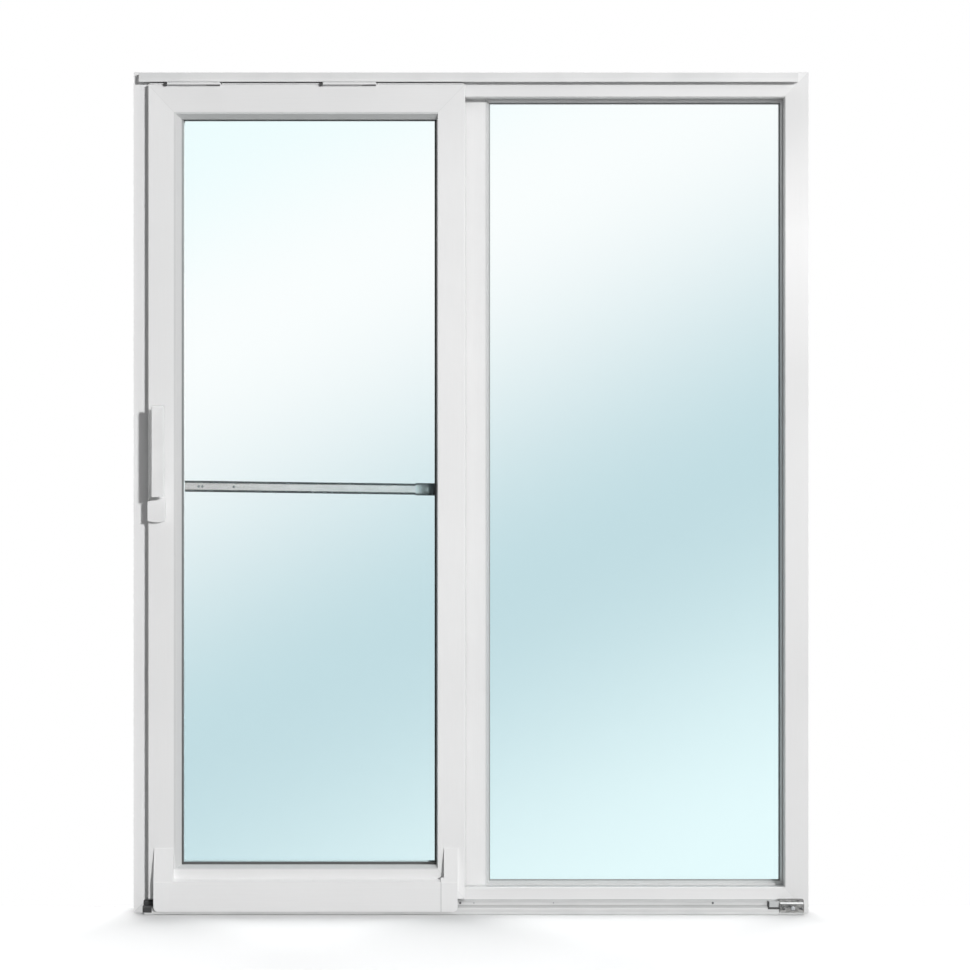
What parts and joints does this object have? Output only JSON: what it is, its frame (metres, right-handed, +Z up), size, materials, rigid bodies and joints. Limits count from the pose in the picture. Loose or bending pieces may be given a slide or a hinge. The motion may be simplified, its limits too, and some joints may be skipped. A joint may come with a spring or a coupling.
{
  "type": "sliding patio door",
  "caption": "White uPVC patio door with a glazed sash on rollers that slides in front of a fixed glazed light, with a lever handle, guide rail and running rail",
  "frame": {"origin": "middle of the sill's flat underside, halfway through the frame's depth", "axes": "+X along the width to the right seen from the room, +Y from the room towards the garden, +Z up"},
  "size_m": [1.63, 0.179, 2.03],
  "materials": {
    "white_upvc": "smooth white extruded uPVC, satin to low gloss",
    "clear_glass": "clear float glass in sealed double units",
    "spacer_metal": "mill-finish spacer bar",
    "black_gasket": "matt black rubber",
    "white_rail": "white coated aluminium",
    "bar_aluminium": "pale grey anodised",
    "dark_plastic": "dark moulded plastic",
    "grey_buffer": "light grey moulded plastic",
    "stop_metal": "dark mottled cast metal",
    "carriage_steel": "zinc-plated steel",
    "handle_white": "white powder-coated metal"
  },
  "bodies": {
    "frame": {"frame_head": "white_upvc", "frame_sill": "white_upvc", "frame_jamb_left": "white_upvc", "frame_jamb_right": "white_upvc", "centre_post": "white_upvc", "doorway_liner": "white_upvc", "fixed_bead_top": "white_upvc", "fixed_bead_bottom": "white_upvc", "fixed_bead_left": "white_upvc", "fixed_bead_right": "white_upvc", "fixed_glass_inner": "clear_glass", "fixed_glass_outer": "clear_glass", "fixed_spacer": "spacer_metal", "fixed_gasket": "black_gasket", "guide_rail": "white_rail", "running_rail": "white_rail", "rail_stop_buffer": "grey_buffer", "rail_end_stop": "stop_metal"},
    "sash": {"sash_stile_left": "white_upvc", "sash_stile_right": "white_upvc", "sash_rail_top": "white_upvc", "sash_rail_bottom": "white_upvc", "sash_bead_top": "white_upvc", "sash_bead_bottom": "white_upvc", "sash_bead_left": "white_upvc", "sash_bead_right": "white_upvc", "sash_glass_inner": "clear_glass", "sash_glass_outer": "clear_glass", "sash_spacer": "spacer_metal", "sash_gasket": "black_gasket", "sash_seal": "black_gasket", "cross_bar": "bar_aluminium", "cross_bar_trim_upper": "black_gasket", "cross_bar_trim_lower": "black_gasket", "cross_bar_end": "dark_plastic", "bottom_cover": "white_upvc", "cover_cap_left": "white_upvc", "cover_cap_right": "white_upvc", "carriage_left": "carriage_steel", "carriage_right": "carriage_steel", "roller_left": "dark_plastic", "roller_right": "dark_plastic", "stay_arm_left": "white_rail", "stay_arm_right": "white_rail", "handle_base": "handle_white"},
    "handle": {"handle_lever": "handle_white"}
  },
  "joints": [
    {"name": "sash_slide", "type": "slide", "parent": "frame", "child": "sash", "axis": [1, 0, 0], "range_m": [0, 0.74]},
    {"name": "handle_turn", "type": "hinge", "parent": "sash", "child": "handle", "pos_m": [-0.756, -0.0715, 0.97], "axis": [0, 1, 0], "range_deg": [0, 180]}
  ]
}
